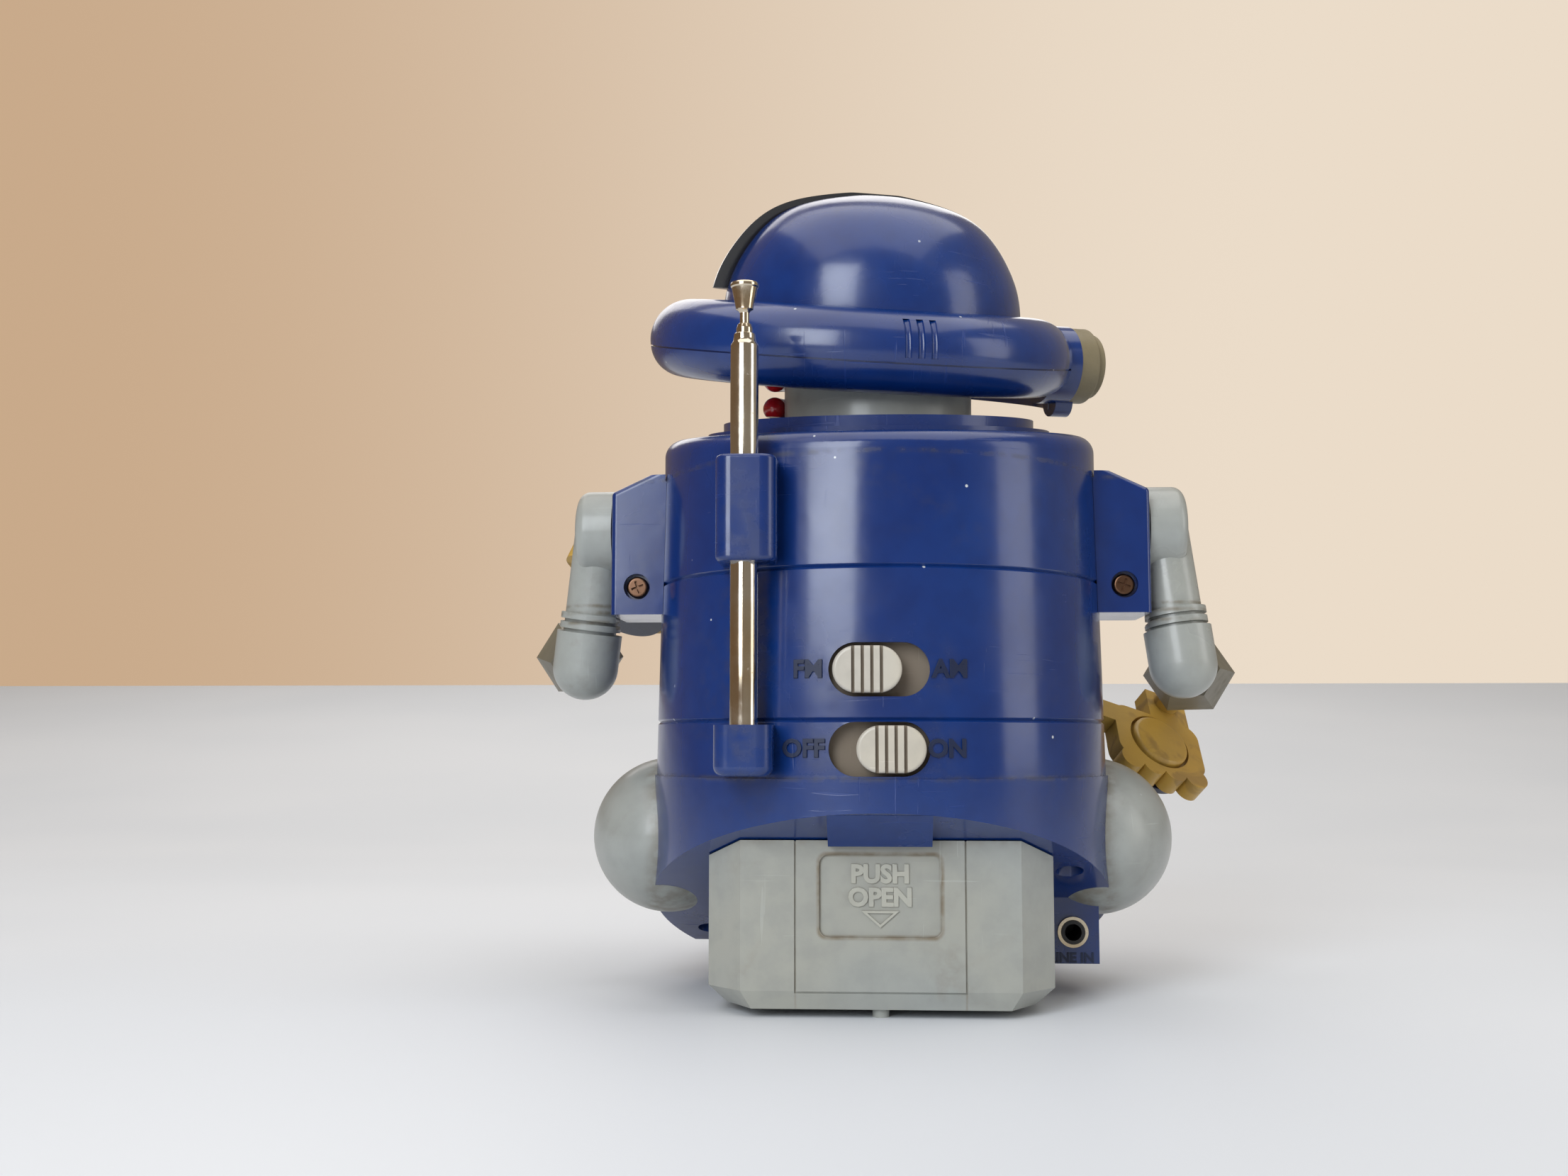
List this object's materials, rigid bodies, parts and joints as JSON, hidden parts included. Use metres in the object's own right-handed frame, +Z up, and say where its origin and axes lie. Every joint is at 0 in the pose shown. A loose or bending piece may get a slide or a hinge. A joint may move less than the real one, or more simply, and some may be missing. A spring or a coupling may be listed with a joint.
{
  "type": "toy robot",
  "caption": "Toy radio robot with a round body, turning domed head, swinging arms, rod antenna, slide switches and a sliding battery cover.",
  "frame": {"origin": "middle of the footprint on the floor", "axes": "+Z up, the robot faces -Y, its left arm is on +X"},
  "size_m": [0.1672, 0.1294, 0.1825],
  "materials": {
    "navy_gloss": "glossy moulded plastic, deep blue",
    "sage_grey": "satin greenish grey plastic",
    "boot_blue": "glossy moulded plastic, deep blue",
    "off_white": "satin off-white plastic",
    "dial_silver": "bright knob plastic",
    "nickel": "polished nickel plate",
    "jack_nickel": "worn plated brass",
    "copper_screw": "browned steel screw",
    "ochre": "aged mustard plastic",
    "record_navy": "near-black glossy disc",
    "lip_red": "glossy red plastic",
    "visor_black": "glossy black plastic",
    "lamp_amber": "amber lens plastic",
    "khaki": "dusty olive-khaki plastic",
    "microphone_black": "dark foam-textured plastic",
    "grille_silver": "silver painted slotted metal",
    "battery_case_black": "black plastic",
    "battery_wrap": "printed battery sleeve, plain",
    "contact_steel": "plated spring steel",
    "jack_black": "black plastic barrel",
    "speaker_black": "black painted steel",
    "board_green": "green circuit board",
    "mechanism_white": "white nylon",
    "motor_steel": "plated steel can"
  },
  "bodies": {
    "torso": {"antenna_clip": "navy_gloss", "antenna_foot": "navy_gloss", "antenna_tube": "nickel", "base_housing": "navy_gloss", "base_screws": "copper_screw", "battery_case": "battery_case_black", "battery_cells": "battery_wrap", "battery_contacts": "contact_steel", "bracket_screws": "copper_screw", "circuit_board": "board_green", "dial_controls": "battery_case_black", "front_housing": "navy_gloss", "gear_deck": "mechanism_white", "jack_ring": "jack_nickel", "left_boot": "boot_blue", "left_bracket": "navy_gloss", "left_leg": "sage_grey", "line_in_jack": "jack_black", "motor": "motor_steel", "rear_housing": "navy_gloss", "right_boot": "boot_blue", "right_bracket": "navy_gloss", "right_leg": "sage_grey", "speaker": "speaker_black", "speaker_grille": "grille_silver", "switch_bodies": "battery_case_black", "top_cover": "navy_gloss"},
    "head": {"neck": "sage_grey", "head_shell": "navy_gloss", "head_base": "navy_gloss", "visor": "visor_black", "eye_lamps": "lamp_amber", "ear_collar": "navy_gloss", "ear_cap": "khaki", "boom_arm": "navy_gloss", "boom_microphone": "microphone_black", "upper_lip": "lip_red"},
    "jaw": {"lower_lip": "lip_red"},
    "battery_lid": {"battery_cover": "sage_grey"},
    "band_switch": {"band_switch_knob": "off_white"},
    "power_switch": {"power_switch_knob": "off_white"},
    "tuning": {"tuning_dial": "dial_silver"},
    "volume": {"volume_dial": "dial_silver"},
    "crank": {"crank_gear": "mechanism_white"},
    "pinion": {"motor_pinion": "mechanism_white"},
    "antenna_mid": {"antenna_middle": "nickel"},
    "antenna_tip": {"antenna_rod": "nickel"},
    "left_arm": {"left_arm_inner": "sage_grey", "left_arm_outer": "sage_grey", "left_cuff": "sage_grey"},
    "right_arm": {"right_arm_inner": "sage_grey", "right_arm_outer": "sage_grey", "right_cuff": "sage_grey"},
    "left_wrist": {"left_hand": "ochre", "left_hand_button": "ochre", "left_record_disc": "record_navy"},
    "right_wrist": {"right_hand": "ochre", "right_hand_button": "ochre", "right_record_disc": "record_navy"}
  },
  "joints": [
    {"name": "head_turn", "type": "hinge", "parent": "torso", "child": "head", "pos_m": [0, 0.0113, 0.118], "axis": [0, 0, 1], "range_deg": [-32, 0]},
    {"name": "jaw_close", "type": "slide", "parent": "head", "child": "jaw", "axis": [0, 0, 1], "range_m": [0, 0.0011]},
    {"name": "lid_slide", "type": "slide", "parent": "torso", "child": "battery_lid", "axis": [0, 0, -1], "range_m": [0, 0.016]},
    {"name": "band_slide", "type": "slide", "parent": "torso", "child": "band_switch", "axis": [-1, 0, 0], "range_m": [0, 0.0048]},
    {"name": "power_slide", "type": "slide", "parent": "torso", "child": "power_switch", "axis": [1, 0, 0], "range_m": [0, 0.0048]},
    {"name": "tuning_turn", "type": "hinge", "parent": "torso", "child": "tuning", "pos_m": [0.03237, -0.01996, 0.101], "axis": [0.7193, -0.6947, 0], "range_deg": [-135, 135]},
    {"name": "volume_turn", "type": "hinge", "parent": "torso", "child": "volume", "pos_m": [-0.03237, -0.01996, 0.101], "axis": [-0.7193, -0.6947, 0], "range_deg": [-135, 135]},
    {"name": "crank_spin", "type": "hinge", "parent": "torso", "child": "crank", "pos_m": [-0.006, 0.0133, 0.1], "axis": [0, 0, 1], "continuous": true},
    {"name": "pinion_spin", "type": "hinge", "parent": "torso", "child": "pinion", "pos_m": [0.0165, 0.0133, 0.1], "axis": [0, 0, 1], "continuous": true},
    {"name": "antenna_mid_slide", "type": "slide", "parent": "torso", "child": "antenna_mid", "axis": [0, 0, 1], "range_m": [0, 0.06]},
    {"name": "antenna_tip_slide", "type": "slide", "parent": "antenna_mid", "child": "antenna_tip", "axis": [0, 0, 1], "range_m": [0, 0.06]},
    {"name": "left_arm_swing", "type": "hinge", "parent": "torso", "child": "left_arm", "pos_m": [0.062, 0.0113, 0.1019], "axis": [-1, 0, 0], "range_deg": [-10, 0]},
    {"name": "right_arm_swing", "type": "hinge", "parent": "torso", "child": "right_arm", "pos_m": [-0.062, 0.0113, 0.1019], "axis": [-1, 0, 0], "range_deg": [0, 10]},
    {"name": "left_wrist_turn", "type": "hinge", "parent": "left_arm", "child": "left_wrist", "pos_m": [0.07374, -0.0203, 0.07562], "axis": [0.2246, -0.9648, 0.1369], "range_deg": [-60, 90]},
    {"name": "right_wrist_turn", "type": "hinge", "parent": "right_arm", "child": "right_wrist", "pos_m": [-0.07374, -0.01526, 0.07054], "axis": [-0.2246, -0.9739, -0.0327], "range_deg": [-90, 60]}
  ],
  "couplings": [
    {"joint": "pinion_spin", "follows": "crank_spin", "ratio": -4},
    {"joint": "right_arm_swing", "follows": "left_arm_swing", "ratio": -1}
  ]
}
